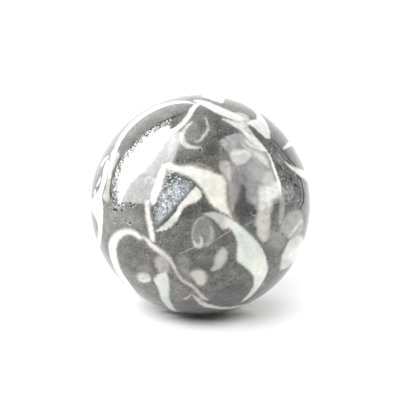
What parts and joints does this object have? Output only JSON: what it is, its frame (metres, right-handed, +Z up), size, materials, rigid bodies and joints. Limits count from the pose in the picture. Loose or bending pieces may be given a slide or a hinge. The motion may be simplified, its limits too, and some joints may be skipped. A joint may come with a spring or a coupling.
{
  "type": "decorative sphere",
  "caption": "Polished solid ball of grey cast composite with cut sea shells showing as pale curved bands, and a small flat spot underneath to rest on.",
  "frame": {"origin": "middle of the flat spot under the ball, on the surface that it rests on", "axes": "+Z straight up through the middle of the ball, -Y towards the viewer of the picture"},
  "size_m": [0.1, 0.1, 0.0996],
  "materials": {
    "shell_composite": "polished"
  },
  "bodies": {
    "root": {"ball": "shell_composite"}
  },
  "joints": []
}
